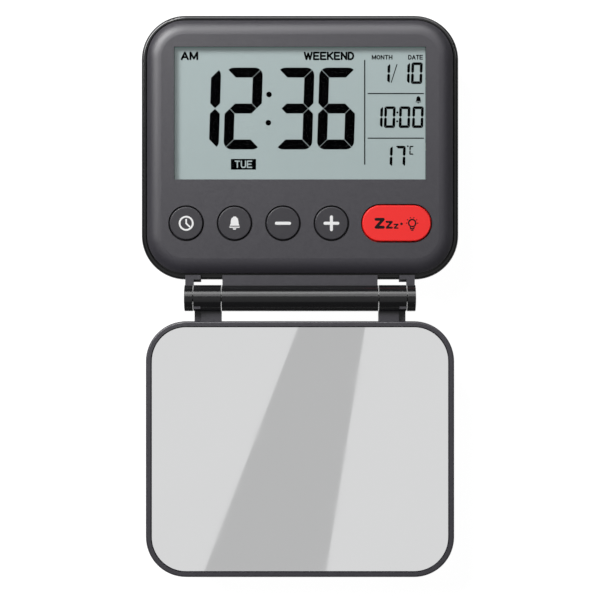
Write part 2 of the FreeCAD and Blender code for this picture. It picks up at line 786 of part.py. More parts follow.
def cells():
    for cell, row in ((1, -1), (2, 1)):
        y = f"bay_y + {row} * cell_pitch / 2"
        spring_end = f"{-row} * (bay_length / 2 - plate_thickness - spring_room)"
        can_start = f"{spring_end} - ({row} < 0 ? cell_length : 0)"
        nub_start = f"{spring_end} + {row} * cell_length - ({row} < 0 ? nub_length : 0)"
        can = bar(f"cell_{cell}_can", (can_start, y, "cell_z"), "cell_radius", "cell_length")
        nub = bar(f"cell_{cell}_nub", (nub_start, y, "cell_z"), "nub_radius", "nub_length")
        joined(f"aaa_cell_{cell}", [can, nub])


def contacts():
    """A bridge joins the cells at one end; at the other each has its own leaf, with a lead to the board."""
    tall = "2 * cell_radius"
    half = "(bay_length - plate_thickness) / 2"
    bridge = ("plate_thickness", "bay_width - 2 * bay_clearance", tall)
    cuboid("bridge_contact", (half, "bay_y"), "leaf_z", bridge)
    pairs = []
    for row in (-1, 1):
        place = (f"0 - {half}", f"bay_y + {row} * cell_pitch / 2")
        leaf = cuboid(f"leaf_{row + 2}", place, "leaf_z", ("plate_thickness", "leaf_width", tall))
        size = ("plate_thickness", "cell_radius / 2", "board_under - leaf_z")
        lead = cuboid(f"lead_{row + 2}", place, "leaf_z", size)
        pairs.append(joined(f"leaf_pair_{row + 2}", [leaf, lead]))
    joined("terminal_contacts", pairs, "Part::Compound")


def springs():
    """A contact spring against each cell's flat end: its turns as rings, with one wire along them."""
    coils = []
    along_x = FreeCAD.Placement(FreeCAD.Vector(), FreeCAD.Rotation(FreeCAD.Vector(0, 1, 0), 90))
    for row in (-1, 1):
        y = f"bay_y + {row} * cell_pitch / 2"
        turns = []
        for turn in range(SPRING_TURNS):
            ring = doc.addObject("Part::Torus", f"turn_{row + 2}_{turn}")
            bind(ring, "Radius1", "spring_radius")
            bind(ring, "Radius2", "spring_wire / 2")
            ring.Placement = along_x
            depth = f"spring_wire / 2 + {turn} * (spring_room - spring_wire) / {SPRING_TURNS - 1}"
            bind(ring, "Placement.Base.x", f"{-row} * (bay_length / 2 - plate_thickness - ({depth}))")
            bind(ring, "Placement.Base.y", y)
            bind(ring, "Placement.Base.z", "cell_z")
            turns.append(ring)
        start = "spring_wire / 2 + plate_thickness - bay_length / 2"
        if row < 0:
            start = "bay_length / 2 - plate_thickness - spring_room + spring_wire / 2"
        place = (start, y, "cell_z + spring_radius")
        turns.append(bar(f"riser_{row + 2}", place, "spring_riser", "spring_room - spring_wire"))
        coils.append(joined(f"coil_{row + 2}", turns))
    joined("battery_springs", coils, "Part::Compound")


def battery_door():
    body = new_body("battery_door")
    centre = ("0", "bay_y")
    size = ("door_length", "door_width")
    block(body, "door_plate", centre, *size, "door_recess", "door_thickness", "door_ledge")
    high = "door_recess + door_thickness / 2"
    for side, word in SIDES:
        place = (f"{side} * tab_x", "door_hinge_y")
        block(body, f"tab_{word}", place, "tab_width", "2 * tab_reach", high, "door_thickness / 2")
    stalk = ("0", "catch_y + bay_wall / 2")
    block(body, "catch_stalk", stalk, "catch_width", "bay_wall", high, "1.5 * door_thickness")
    hook = ("0", "catch_y + (bay_wall - catch_hook) / 2")
    block(body, "catch_hook", hook, "catch_width", "bay_wall + catch_hook", "hook_z", "door_thickness / 2")
    for row in range(GRIP_LINES):
        place = ("0", f"bay_y - bay_width / 2 + ({row} + 2) * bay_wall")
        size = ("catch_width", "bay_wall / 2")
        hollow(body, f"grip_{row}", place, *size, "door_recess", "door_thickness / 4", up=True)


# ---------------------------------------------------------------- lid


def lid_shell():
    body = new_body("lid_shell")
    centre = ("0", "lid_y")
    size = ("lid_width", "lid_length")
    plate = block(body, "lid_plate", centre, *size, "lid_back", "lid_thickness", "lid_corner")
    back = soften(body, plate, edges(plate, level("lid_back")), "lid_round")
    soften(body, back, edges(back, level("lid_face")), "lid_edge_round")
    seat = (inset("lid_width", "mirror_rim"), inset("lid_length", "mirror_rim"))
    depth = "mirror_recess + mirror_thickness + glue_thickness"
    hollow(body, "mirror_seat", centre, *seat, "lid_face", depth, "lid_corner - mirror_rim")
    arm_width = "knuckle_width - arm_relief"
    reach = "lid_standoff + mirror_rim / 2"
    for side, word in SIDES:
        start = "knuckle_x" if side > 0 else "0 - knuckle_end"
        rod(body, f"knuckle_{word}", "barrel_radius", start, "knuckle_width")
        middle = f"{side} * (knuckle_x + ({arm_width}) / 2)"
        depth = "barrel_radius - closed_gap"
        block(body, f"arm_{word}", (middle, f"0 - ({reach}) / 2"), arm_width, reach, "web_z", depth)
        shelf = (f"{side} * (knuckle_x + knuckle_width / 2)", f"0 - ({reach}) / 2")
        block(body, f"shelf_{word}", shelf, "knuckle_width", reach, "web_z", "barrel_radius / 3")
        lug = (f"{side} * (knuckle_end - arm_relief / 2)", "0 - lug_y - lug_width / 2")
        block(body, f"lug_{word}", lug, "arm_relief", "lug_width", "axis_z", "lug_reach")
    rod(body, "lid_bore", "pin_radius + running_gap", "0 - ear_end", "2 * ear_end", cut=True)


def mirror():
    body = new_body("mirror_glass")
    amount = "mirror_rim + fit_gap"
    size = (inset("lid_width", amount), inset("lid_length", amount))
    corner = f"lid_corner - ({amount})"
    glass = block(body, "mirror_plate", ("0", "lid_y"), *size, "mirror_z", "mirror_thickness", corner)
    top = edges(glass, level("mirror_z + mirror_thickness"))
    soften(body, glass, top, "mirror_bevel", kind="PartDesign::Chamfer")
    sheet_size = (inset("lid_width", "pad_inset"), inset("lid_length", "pad_inset"), "glue_thickness")
    cuboid("mirror_adhesive", ("0", "lid_y"), "mirror_z - glue_thickness", sheet_size)


def hinge_pin():
    start = "pin_end_gap + fit_gap - ear_end"
    bar("hinge_pin", (start, "0", "axis_z"), "pin_radius", "2 * (ear_end - pin_end_gap - fit_gap)")


# ---------------------------------------------------------------- sounder and screws


def sounder():
    centre = ("0", "sounder_y")
    cylinder("sounder_disc", centre, "sounder_z", "sounder_radius", "sounder_brass")
    cylinder("sounder_ceramic", centre, "sounder_z + sounder_brass", "ceramic_radius", "sounder_brass")
    leads = []
    for word, x, sheets in (("rim", "0 - rim_lead_x", 1), ("middle", "middle_lead_x", 2)):
        low = f"sounder_z + {sheets} * sounder_brass"
        rise = f"board_under - ({low})"
        leads.append(cylinder(f"lead_{word}", (x, "sounder_y"), low, "lead_radius", rise))
    joined("sounder_leads", leads, "Part::Compound")


def screws():
    groups = {"case_screws": [], "board_screws": []}
    drive = ("screw_radius / 2", "4 * screw_radius", "1.5 * screw_head_height")
    for x, y, word in boss_places():
        centre = (x, y)
        low = "screw_seat - screw_head_height"
        head = cylinder(f"head_{word}", centre, low, "screw_head_radius", "screw_head_height")
        radius = "screw_radius - pressed_gap"
        shank = cylinder(f"shank_{word}", centre, "screw_seat", radius, "screw_length")
        slot = cuboid(f"drive_{word}", centre, "screw_seat - 2 * screw_head_height", drive)
        whole = joined(f"screw_{word}", [head, shank])
        groups["case_screws"].append(trimmed(f"case_screw_{word}", whole, slot))
    radius = "board_screw_radius - 2 * pressed_gap"
    length = "board_thickness + board_screw_bite"
    for x, y, word in post_places():
        centre = (x, y)
        low = "board_under - board_screw_radius"
        head = cylinder(f"head_{word}", centre, low, "2 * board_screw_radius", "board_screw_radius")
        shank = cylinder(f"shank_{word}", centre, "board_under", radius, length)
        groups["board_screws"].append(joined(f"board_screw_{word}", [head, shank]))
    for label, items in groups.items():
        joined(label, items, "Part::Compound")


# ---------------------------------------------------------------- build and write

NODES = (
    "rear_case front_bezel display_lens lens_adhesive front_polariser lcd_front_glass "
    "lcd_rear_glass rear_polariser light_guide backlight_leds lcd_frame zebra_strip main_board "
    "controller_blob watch_crystal temperature_sensor board_chips keypad_membrane "
    "key_contact_pills clock_set_button alarm_set_button minus_button plus_button snooze_button "
    "aaa_cell_1 aaa_cell_2 bridge_contact terminal_contacts battery_springs battery_door "
    "lid_shell mirror_glass mirror_adhesive hinge_pin sounder_disc sounder_ceramic sounder_leads "
    "case_screws board_screws"
).split()

rear_case()
front_bezel()
display()
main_board()
board_parts()
keypad()
buttons()
cells()
contacts()
springs()
battery_door()
lid_shell()
mirror()
hinge_pin()
sounder()
screws()
doc.recompute()

for item in doc.Objects:
    if "Invalid" in item.State or "Error" in item.State:
        raise RuntimeError(f"{item.Label} did not build: {item.State}")

labelled = {item.Label: item for item in doc.Objects}
for node in NODES:
    shape = labelled[node].Shape
    if shape.isNull() or not shape.isValid() or not shape.Solids:
        raise RuntimeError(f"{node} has no valid solid")

os.makedirs("parts", exist_ok=True)
for node in NODES:
    labelled[node].Shape.exportStep(f"parts/{node}.step")
    print(node, len(labelled[node].Shape.Solids), round(labelled[node].Shape.Volume, 2))
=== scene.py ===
"""A folding travel alarm clock with a mirror in its lid, lying open, seen from straight above.

Lengths are given in millimetres and turned into metres by MM. Places come from the frame.
"""

import json
import math

import bmesh
import bpy
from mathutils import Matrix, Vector
from mathutils.geometry import delaunay_2d_cdt


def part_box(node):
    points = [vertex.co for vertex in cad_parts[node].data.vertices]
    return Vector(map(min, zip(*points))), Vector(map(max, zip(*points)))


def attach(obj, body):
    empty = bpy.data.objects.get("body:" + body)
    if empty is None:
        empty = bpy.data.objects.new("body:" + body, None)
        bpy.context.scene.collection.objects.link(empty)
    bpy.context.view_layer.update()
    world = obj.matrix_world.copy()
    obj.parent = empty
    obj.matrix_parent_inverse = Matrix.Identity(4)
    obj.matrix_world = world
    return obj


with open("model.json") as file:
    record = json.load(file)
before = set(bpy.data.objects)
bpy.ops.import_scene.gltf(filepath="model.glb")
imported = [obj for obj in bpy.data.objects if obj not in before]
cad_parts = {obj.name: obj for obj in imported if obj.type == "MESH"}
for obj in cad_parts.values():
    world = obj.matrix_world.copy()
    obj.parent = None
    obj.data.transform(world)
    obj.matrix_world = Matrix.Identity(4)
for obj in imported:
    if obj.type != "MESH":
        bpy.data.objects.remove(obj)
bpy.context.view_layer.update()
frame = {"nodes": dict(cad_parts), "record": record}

nodes = frame["nodes"]

MM = 0.001
WHITE = (1.0, 1.0, 1.0, 1.0)
BLACK = (0.0, 0.0, 0.0, 1.0)


# ---------------------------------------------------------------- materials

CASE_GREY = (0.0285, 0.0265, 0.0345, 1.0)
# Painted shade: near black for the hinge barrel and for the rear shell below its rim. These are the same
# plastic as the grey parts, drawn dark where they fall dark.
SHADE_BLACK = (0.005, 0.005, 0.006, 1.0)
FILM = (0.388, 0.463, 0.463, 1.0)
# The share of the film's brightness that it gives off itself: a painted glow, which lifts the shade that
# the window's edge casts on the film.
FILM_PAINTED_GLOW = 0.3
# What clear pieces reflect when seen straight on.
LENS_GLOSS = 0.002
# The polished part of the rear case, whose colour is painted near black as shade, ends this far below the
# bezel's face and this far outside its edge.
RIM_DROP = 3.55
RIM_WIDTH = 1.85
# The change from polished, painted-shade black to satin grey is this wide at the rim, and starts this far
# outside the barrel.
SEAM = 0.02
# How wide that change is round the barrel.
BARREL_SEAM = 0.04


class Look:
    """A procedural material with helpers for its nodes."""

    def __init__(self, name):
        self.material = bpy.data.materials.new(name)
        self.material.use_nodes = True
        self.tree = self.material.node_tree
        self.tree.nodes.clear()
        self.output = self.add("ShaderNodeOutputMaterial")
        self.shader = self.add("ShaderNodeBsdfPrincipled")
        self.link(self.shader.outputs[0], self.output.inputs["Surface"])
        self.place = self.add("ShaderNodeTexCoord").outputs["Object"]

    def add(self, kind, **values):
        node = self.tree.nodes.new(kind)
        for name, value in values.items():
            setattr(node, name, value)
        return node

    def link(self, start, end):
        self.tree.links.new(start, end)

    def set(self, **values):
        for name, value in values.items():
            self.shader.inputs[name.replace("_", " ")].default_value = value

    def noise(self, size_mm, detail=3.0, stretch=(1.0, 1.0, 1.0)):
        """Noise with features of about size_mm, from 0 to 1."""
        mapping = self.add("ShaderNodeMapping")
        mapping.inputs["Scale"].default_value = stretch
        texture = self.add("ShaderNodeTexNoise")
        texture.inputs["Scale"].default_value = 1.0 / (size_mm * MM)
        texture.inputs["Detail"].default_value = detail
        self.link(self.place, mapping.inputs["Vector"])
        self.link(mapping.outputs[0], texture.inputs["Vector"])
        return texture.outputs["Fac"]

    def spread(self, source, low, high, start=0.3, end=0.7):
        """Maps source from start..end to low..high."""
        node = self.add("ShaderNodeMapRange")
        for name, value in (("From Min", start), ("From Max", end), ("To Min", low), ("To Max", high)):
            node.inputs[name].default_value = value
        self.link(source, node.inputs["Value"])
        return node.outputs[0]

    def blend(self, factor, first, second):
        """Mixes two colours, or two colour sockets, by factor."""
        node = self.add("ShaderNodeMix", data_type="RGBA")
        self.link(factor, node.inputs[0])
        for socket, value in ((node.inputs[6], first), (node.inputs[7], second)):
            if isinstance(value, tuple):
                socket.default_value = value
            else:
                self.link(value, socket)
        return node.outputs[2]

    def mix(self, factor, first, second):
        """Mixes two numbers by factor."""
        node = self.add("ShaderNodeMix", data_type="FLOAT")
        self.link(factor, node.inputs["Factor"])
        self.link(first, node.inputs[2])
        self.link(second, node.inputs[3])
        return node.outputs[0]

    def compute(self, operation, first, second):
        """One arithmetic step on two numbers."""
        node = self.add("ShaderNodeMath", operation=operation)
        self.link(first, node.inputs[0])
        self.link(second, node.inputs[1])
        return node.outputs[0]

    def bump(self, height, depth_mm):
        node = self.add("ShaderNodeBump")
        node.inputs["Distance"].default_value = depth_mm * MM
        self.link(height, node.inputs["Height"])
        self.link(node.outputs[0], self.shader.inputs["Normal"])

    def axis(self, letter):
        """The place along one axis, in metres."""
        node = self.add("ShaderNodeSeparateXYZ")
        self.link(self.place, node.inputs[0])
        return node.outputs["XYZ".index(letter)]


def shade(color, factor):
    return tuple(min(1.0, c * factor) for c in color[:3]) + (1.0,)


def satin(name, color, roughness=0.42, grain=0.16, depth=0.006, spread=0.06, mottle=9.0):
    """Moulded plastic or rubber: fine spark texture, with faint large variation in colour."""
    look = Look(name)
    tint = look.blend(look.noise(mottle), shade(color, 1 - spread), shade(color, 1 + spread))
    look.link(tint, look.shader.inputs["Base Color"])
    gloss = look.spread(look.noise(grain * 4), roughness - 0.04, roughness + 0.05)
    look.link(gloss, look.shader.inputs["Roughness"])
    look.bump(look.noise(grain, detail=2.0), depth)
    return look


def metal(name, color, roughness=0.28, stretch=(1.0, 12.0, 12.0), grain=0.3, depth=0.002):
    """Drawn or rolled metal, with fine lines along X unless stretch says otherwise."""
    look = Look(name)
    lines = look.noise(grain, stretch=stretch)
    look.link(look.blend(lines, shade(color, 0.86), shade(color, 1.08)), look.shader.inputs["Base Color"])
    look.link(look.spread(lines, roughness - 0.06, roughness + 0.1), look.shader.inputs["Roughness"])
    look.bump(lines, depth)
    look.set(Metallic=1.0)
    return look


def see_through(name, tint, gloss_roughness=0.03):
    """Clear glass or acrylic in a thin sheet: what lies behind, with a reflection on top."""
    look = Look(name)
    look.tree.nodes.remove(look.shader)
    clear = look.add("ShaderNodeBsdfTransparent")
    gloss = look.add("ShaderNodeBsdfGlossy")
    mix = look.add("ShaderNodeMixShader")
    facing = look.add("ShaderNodeLayerWeight")
    facing.inputs["Blend"].default_value = 0.5
    # The reflection grows with the fifth power towards grazing, as it does on glass.
    steep = look.add("ShaderNodeMath", operation="POWER")
    steep.inputs[1].default_value = 5.0
    look.link(facing.outputs["Facing"], steep.inputs[0])
    look.link(look.blend(look.noise(20.0), shade(tint, 0.99), tint), clear.inputs["Color"])
    haze = look.spread(look.noise(3.0), gloss_roughness * 0.7, gloss_roughness * 1.4)
    look.link(haze, gloss.inputs["Roughness"])
    look.link(look.spread(steep.outputs[0], LENS_GLOSS, 1.0, 0.0, 1.0), mix.inputs[0])
    look.link(clear.outputs[0], mix.inputs[1])
    look.link(gloss.outputs[0], mix.inputs[2])
    look.link(mix.outputs[0], look.output.inputs["Surface"])
    return look


def off_barrel(look):
    """0 within the hinge barrel and 1 outside it."""
    low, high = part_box("hinge_pin")
    centre = (low + high) / 2
    across = look.add("ShaderNodeVectorMath", operation="MULTIPLY")
    across.inputs[1].default_value = (0.0, 1.0, 1.0)
    look.link(look.place, across.inputs[0])
    away = look.add("ShaderNodeVectorMath", operation="DISTANCE")
    away.inputs[1].default_value = (0.0, centre.y, centre.z)
    look.link(across.outputs[0], away.inputs[0])
    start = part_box("rear_case")[1].z - centre.z + SEAM * MM
    return look.spread(away.outputs["Value"], 0.0, 1.0, start, start + BARREL_SEAM * MM)


def off_shell(look):
    """0 in the shell of the rear case, and 1 in what stands above its rim or out towards the hinge."""
    low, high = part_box("front_bezel")
    rim = high.z - RIM_DROP * MM
    edge = low.y - RIM_WIDTH * MM
    above = look.spread(look.axis("Z"), 0.0, 1.0, rim, rim + SEAM * MM)
    beyond = look.spread(look.axis("Y"), 1.0, 0.0, edge, edge + SEAM * MM)
    return look.compute("MAXIMUM", above, beyond)


def case_plastic(name, shell=False):
    """Dark grey satin plastic. The hinge barrel, and a shell below its rim, are polished, and their colour
    is painted near black as shade.
    """
    look = Look(name)
    satin_unshaded_share = off_barrel(look)
    if shell:
        satin_unshaded_share = look.compute("MULTIPLY", satin_unshaded_share, off_shell(look))
    grey = look.blend(look.noise(9.0), shade(CASE_GREY, 0.95), shade(CASE_GREY, 1.05))
    # Painted shade: the barrel and the shell below the rim are given near black instead of the grey, while
    # their lower roughness is a real finish.
    black = look.blend(look.noise(9.0), shade(SHADE_BLACK, 0.9), shade(SHADE_BLACK, 1.1))
    look.link(look.blend(satin_unshaded_share, black, grey), look.shader.inputs["Base Color"])
    grain = look.noise(0.6)
    for socket, polished, plain in (
        ("Roughness", look.spread(grain, 0.15, 0.2), look.spread(grain, 0.36, 0.44)),
        ("Specular IOR Level", look.spread(grain, 0.44, 0.46), look.spread(grain, 0.48, 0.52)),
    ):
        look.link(look.mix(satin_unshaded_share, polished, plain), look.shader.inputs[socket])
    look.bump(look.compute("MULTIPLY", look.noise(0.16, detail=2.0), satin_unshaded_share), 0.006)
    return look


def board_green():
    """Solder mask over copper tracks, with the weave of the board showing faintly."""
    look = Look("board_look")
    tracks = look.add("ShaderNodeTexBrick")
    tracks.offset = 0.37
    for name, value in (
        ("Scale", 260.0),
        ("Mortar Size", 0.035),
        ("Brick Width", 1.7),
        ("Row Height", 0.42),
        ("Color1", (0.012, 0.12, 0.035, 1.0)),
        ("Color2", (0.016, 0.15, 0.045, 1.0)),
        ("Mortar", (0.03, 0.3, 0.09, 1.0)),
    ):
        tracks.inputs[name].default_value = value
    look.link(look.place, tracks.inputs["Vector"])
    look.link(tracks.outputs["Color"], look.shader.inputs["Base Color"])
    look.link(look.spread(look.noise(0.5), 0.25, 0.4), look.shader.inputs["Roughness"])
    look.bump(tracks.outputs["Fac"], 0.03)
    return look


def cell_jacket(name, positive_end):
    """A battery's printed sleeve: dark, with a copper-coloured band at its positive end."""
    look = Look(name)
    low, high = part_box(name)
    along = look.axis("X")
    middle = (high.x + low.x) / 2
    sleeve_half = 0.45 * (high.x - low.x) / 2
    soft_edge = 0.1 * MM
    if positive_end > 0:
        start = middle + sleeve_half
        share = look.spread(along, 0.0, 1.0, start, start + soft_edge)
    else:
        start = middle - sleeve_half
        share = look.spread(along, 1.0, 0.0, start - soft_edge, start)
    sleeve = look.blend(look.noise(6.0), (0.02, 0.035, 0.09, 1.0), (0.028, 0.045, 0.12, 1.0))
    copper = look.blend(look.noise(4.0), (0.75, 0.33, 0.14, 1.0), (0.85, 0.4, 0.18, 1.0))
    look.link(look.blend(share, sleeve, copper), look.shader.inputs["Base Color"])
    look.link(look.spread(look.noise(1.0), 0.2, 0.3), look.shader.inputs["Roughness"])
    look.set(Metallic=0.35, Coat_Weight=0.5)
    return look


def mirror_silver():
    """Silvered glass, very slightly uneven as float glass is."""
    look = Look("mirror_look")
    silver = look.blend(look.noise(30.0), (0.93, 0.935, 0.94, 1.0), (0.95, 0.955, 0.96, 1.0))
    look.link(silver, look.shader.inputs["Base Color"])
    look.link(look.spread(look.noise(8.0), 0.015, 0.03), look.shader.inputs["Roughness"])
    look.set(Metallic=1.0)
    return look


LOOKS = {
    "case_plastic": case_plastic("case_look"),
    "button_plastic": satin("button_look", shade(CASE_GREY, 0.7), roughness=0.42, grain=0.2),
    "red_plastic": satin("red_look", (1.0, 0.008, 0.006, 1.0), roughness=0.5, grain=0.2, spread=0.0),
    "clear_lens": see_through("lens_look", (0.985, 0.99, 0.99, 1.0)),
    "black_tape": satin("tape_look", (0.015, 0.015, 0.016, 1.0), roughness=0.6, grain=0.4),
    "display_film": satin(
        "film_look", shade(FILM, 1 - FILM_PAINTED_GLOW),
        roughness=0.35, grain=0.05, depth=0.0005, spread=0.012, mottle=16.0,
    ),
    "display_glass": see_through("glass_look", (0.86, 0.93, 0.91, 1.0)),
    "light_guide": satin("guide_look", (0.82, 0.84, 0.83, 1.0), roughness=0.2, grain=0.5),
    "led_body": satin("led_look", (0.85, 0.78, 0.4, 1.0), roughness=0.3, grain=0.2),
    "white_plastic": satin("frame_look", (0.8, 0.8, 0.78, 1.0), roughness=0.5),
    "contact_rubber": satin("carbon_look", (0.02, 0.02, 0.021, 1.0), roughness=0.7, grain=0.1),
    "board": board_green(),
    "black_resin": satin("resin_look", (0.012, 0.012, 0.013, 1.0), roughness=0.25, grain=0.8, depth=0.02),
    "steel": metal("steel_look", (0.09, 0.09, 0.09, 1.0), roughness=0.4),
    "chip_ceramic": satin("chip_look", (0.2, 0.13, 0.08, 1.0), roughness=0.5, grain=0.1),
    "silicone": satin("silicone_look", (0.36, 0.38, 0.39, 1.0), roughness=0.55, grain=0.3),
    "plated_steel": metal("nickel_look", (0.72, 0.7, 0.66, 1.0), roughness=0.22, stretch=(12.0, 12.0, 1.0)),
    "mirror": mirror_silver(),
    "white_tape": satin("foam_look", (0.75, 0.75, 0.74, 1.0), roughness=0.85, grain=0.3, depth=0.05),
    "brass": metal("brass_look", (0.78, 0.56, 0.24, 1.0), roughness=0.3),
    "sounder_ceramic": satin("piezo_look", (0.7, 0.7, 0.66, 1.0), roughness=0.4, grain=0.1),
    "lead_jacket": satin("lead_look", (0.5, 0.03, 0.02, 1.0), roughness=0.45),
    "screw_steel": metal("screw_look", (0.3, 0.3, 0.31, 1.0), roughness=0.35),
}
# Painted glow: the film gives off its own colour, so the shade in the window's recess stays light.
LOOKS["display_film"].set(Emission_Color=FILM, Emission_Strength=FILM_PAINTED_GLOW)
LOOKS["red_plastic"].set(Specular_IOR_Level=0.3)
LOOKS["button_plastic"].set(Specular_IOR_Level=0.38)
SHELL = case_plastic("shell_look", shell=True)
OWN_LOOKS = {
    "aaa_cell_1": cell_jacket("aaa_cell_1", -1),
    "aaa_cell_2": cell_jacket("aaa_cell_2", 1),
    "rear_case": SHELL,
    "battery_door": SHELL,
}
INK_WHITE = satin("white_ink_look", (0.9, 0.9, 0.9, 1.0), roughness=0.45, grain=0.2, spread=0.02)
INK_BLACK = satin("black_ink_look", (0.006, 0.003, 0.003, 1.0), roughness=0.45, grain=0.2)
INK_BLACK.set(Specular_IOR_Level=0.1)
SEGMENT = satin("segment_look", (0.0005, 0.0005, 0.0007, 1.0), roughness=0.5, grain=0.2, spread=0.2)
SEGMENT.set(Specular_IOR_Level=0.0)


def dress_nodes():
    """Gives every node of the frame its own look, or the look of its material slot."""
    for part in frame["record"]["subparts"]:
        node = nodes[part["node"]]
        look = OWN_LOOKS.get(part["node"]) or LOOKS[part["material_slot"]]
        node.data.materials.clear()
        node.data.materials.append(look.material)


# ---------------------------------------------------------------- flat marks

# Points of an outline nearer to each other than this, in millimetres, count as one.
SAME_POINT = 1e-4
# Asks the triangulation for what lies inside the outlines only.
INSIDE_ONLY = 1


def arc(centre, radius, start, end, steps=8):
    """Points along an arc from the angle start to the angle end, in degrees."""
    angles = [math.radians(start + (end - start) * k / steps) for k in range(steps + 1)]
    return [(centre[0] + radius * math.cos(a), centre[1] + radius * math.sin(a)) for a in angles]


def dot(x, y, radius):
    return arc((x, y), radius, 0, 345, 23)


def moved_in(points, amount):
    """A convex outline, anticlockwise, moved in by amount on every side."""
    moved = []
    for k in range(len(points)):
        before, here, after = (Vector(points[(k + step) % len(points)]) for step in (-1, 0, 1))
        one = (here - before).normalized()
        two = (after - here).normalized()
        normals = Vector((-one.y, one.x)), Vector((-two.y, two.x))
        moved.append(tuple(here + (normals[0] + normals[1]) * amount / (1 + normals[0].dot(normals[1]))))
    return moved


def line(x0, y0, x1, y1, width):
    """A straight stroke as a thin rectangle."""
    along = Vector((x1 - x0, y1 - y0)).normalized()
    side = Vector((-along.y, along.x)) * width / 2
    start, end = Vector((x0, y0)), Vector((x1, y1))
    return [tuple(p) for p in (start - side, end - side, end + side, start + side)]


def pen(points, width):
    """A line of points drawn with a round pen, as rectangles and round joints."""
    strokes = [line(*a, *b, width) for a, b in zip(points, points[1:])]
    return strokes + [dot(x, y, width / 2) for x, y in points]


def printing(name, outlines, centre, low, thickness, look, body):
    """Flat printing: the union of the outlines, in millimetres about centre, raised from low."""
    points = []
    faces = []
    for outline in outlines:
        faces.append(list(range(len(points), len(points) + len(outline))))
        points += [Vector(p) for p in outline]
    flat = delaunay_2d_cdt(points, [], faces, INSIDE_ONLY, SAME_POINT, True)
    work = bmesh.new()
    corners = [work.verts.new(((centre[0] + x) * MM, (centre[1] + y) * MM, low)) for x, y in flat[0]]
    for face, sources in zip(flat[2], flat[5]):
        if sources:
            work.faces.new([corners[k] for k in face])
    raised = bmesh.ops.extrude_face_region(work, geom=work.faces[:])
    for item in raised["geom"]:
        if isinstance(item, bmesh.types.BMVert):
            item.co.z += thickness
    bmesh.ops.delete(work, geom=[v for v in work.verts if not v.link_faces], context="VERTS")
    bmesh.ops.recalc_face_normals(work, faces=work.faces[:])
    mesh = bpy.data.meshes.new(name)
    work.to_mesh(mesh)
    work.free()
    mesh.materials.append(look.material)
    piece = bpy.data.objects.new(name, mesh)
    bpy.context.scene.collection.objects.link(piece)
    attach(piece, body)


# Plain capitals as strokes in a box one wide and one high.
STROKES = {
    "A": [[(0, 0), (0.5, 1), (1, 0)], [(0.2, 0.3), (0.8, 0.3)]],
    "D": [[(0, 0), (0, 1), (0.55, 1), (0.9, 0.8), (1, 0.5), (0.9, 0.2), (0.55, 0), (0, 0)]],
    "E": [[(1, 1), (0, 1), (0, 0), (1, 0)], [(0, 0.5), (0.85, 0.5)]],
    "H": [[(0, 0), (0, 1)], [(1, 0), (1, 1)], [(0, 0.5), (1, 0.5)]],
    "K": [[(0, 0), (0, 1)], [(1, 1), (0, 0.38)], [(0.3, 0.58), (1, 0)]],
    "M": [[(0, 0), (0, 1), (0.5, 0.1), (1, 1), (1, 0)]],
    "N": [[(0, 0), (0, 1), (1, 0), (1, 1)]],
    "O": [[
        (0.5, 0), (0.12, 0.2), (0, 0.5), (0.12, 0.8),
        (0.5, 1), (0.88, 0.8), (1, 0.5), (0.88, 0.2), (0.5, 0),
    ]],
    "T": [[(0, 1), (1, 1)], [(0.5, 1), (0.5, 0)]],
    "U": [[(0, 1), (0, 0.25), (0.2, 0), (0.8, 0), (1, 0.25), (1, 1)]],
    "W": [[(0, 1), (0.25, 0), (0.5, 0.9), (0.75, 0), (1, 1)]],
    "Z": [[(0, 1), (1, 1), (0, 0), (1, 0)]],
}
# How much wider than the others a letter is drawn.
WIDE = {"M": 1.25, "W": 1.5, "O": 1.1, "A": 1.15}


def lettering(text, left, bottom, width, height, weight, space=0.45):
    """Strokes of capitals that fill a box, with a pen weight times the height."""
    pen_width = weight * height
    shares = [WIDE.get(letter, 1.0) for letter in text]
    gaps = space * (len(text) - 1)
    unit = (width - pen_width) / (sum(shares) + gaps)
    drawn = []
    x = left + pen_width / 2
    for letter, share in zip(text, shares):
        for stroke in STROKES[letter]:
            points = [
                (x + u * share * unit, bottom + pen_width / 2 + v * (height - pen_width)) for u, v in stroke
            ]
            drawn += pen(points, pen_width)
        x += (share + space) * unit
    return drawn


# ---------------------------------------------------------------- the display

# The bars that a figure lights: a at the top, then clockwise, with g in the middle.
LIT = {"0": "abcdef", "1": "bc", "2": "abdeg", "3": "abcdg", "6": "acdefg", "7": "abc", "C": "adef"}
SLANT = math.tan(math.radians(1.8))
# The outer corner's radius, as a share of the bar's width.
CORNER = 0.8
PRINT_THICKNESS = 0.03
# The display's marks lie this far above the front polariser.
PRINT_LIFT = 0.02


def segments(width, height, bar):
    """The seven bars of a digit, as convex outlines, with mitred joints and round outer corners."""
    middle = height / 2
    half = bar / 2
    corner = CORNER * bar
    turn = (width - corner, height - corner)
    top = arc(turn, corner, 45, 90, 4) + arc((corner, turn[1]), corner, 90, 135, 4)
    top += [(bar, height - bar), (width - bar, height - bar)]
    foot = [(width - bar, middle + half), (width - half, middle), (width, middle + half)]
    upright = arc(turn, corner, 0, 45, 4) + [(width - bar, height - bar)] + foot

    def flip(points, across, over):
        """Mirrors an outline left to right and top to bottom as asked, and keeps it anticlockwise."""
        moved = [(width - x if across else x, height - y if over else y) for x, y in points]
        return moved[::-1] if across != over else moved

    return {
        "a": top, "b": upright, "c": flip(upright, False, True), "d": flip(top, False, True),
        "e": flip(upright, True, True), "f": flip(upright, True, False),
        "g": [
            (half, middle), (bar, middle - half), (width - bar, middle - half),
            (width - half, middle), (width - bar, middle + half), (bar, middle + half),
        ],
    }


def digits(text, lefts, bottom, width, height, bar, gap):
    """Outlines of a row of figures; a 1 is only as wide as its bar."""
    bars = segments(width, height, bar)
    lit = []
    for figure, left in zip(text, lefts):
        start = left - (width - bar) if figure == "1" else left
        for key in LIT[figure]:
            outline = moved_in(bars[key], gap / 2)
            lit.append([(start + x + (y - height / 2) * SLANT, bottom + y) for x, y in outline])
    return lit


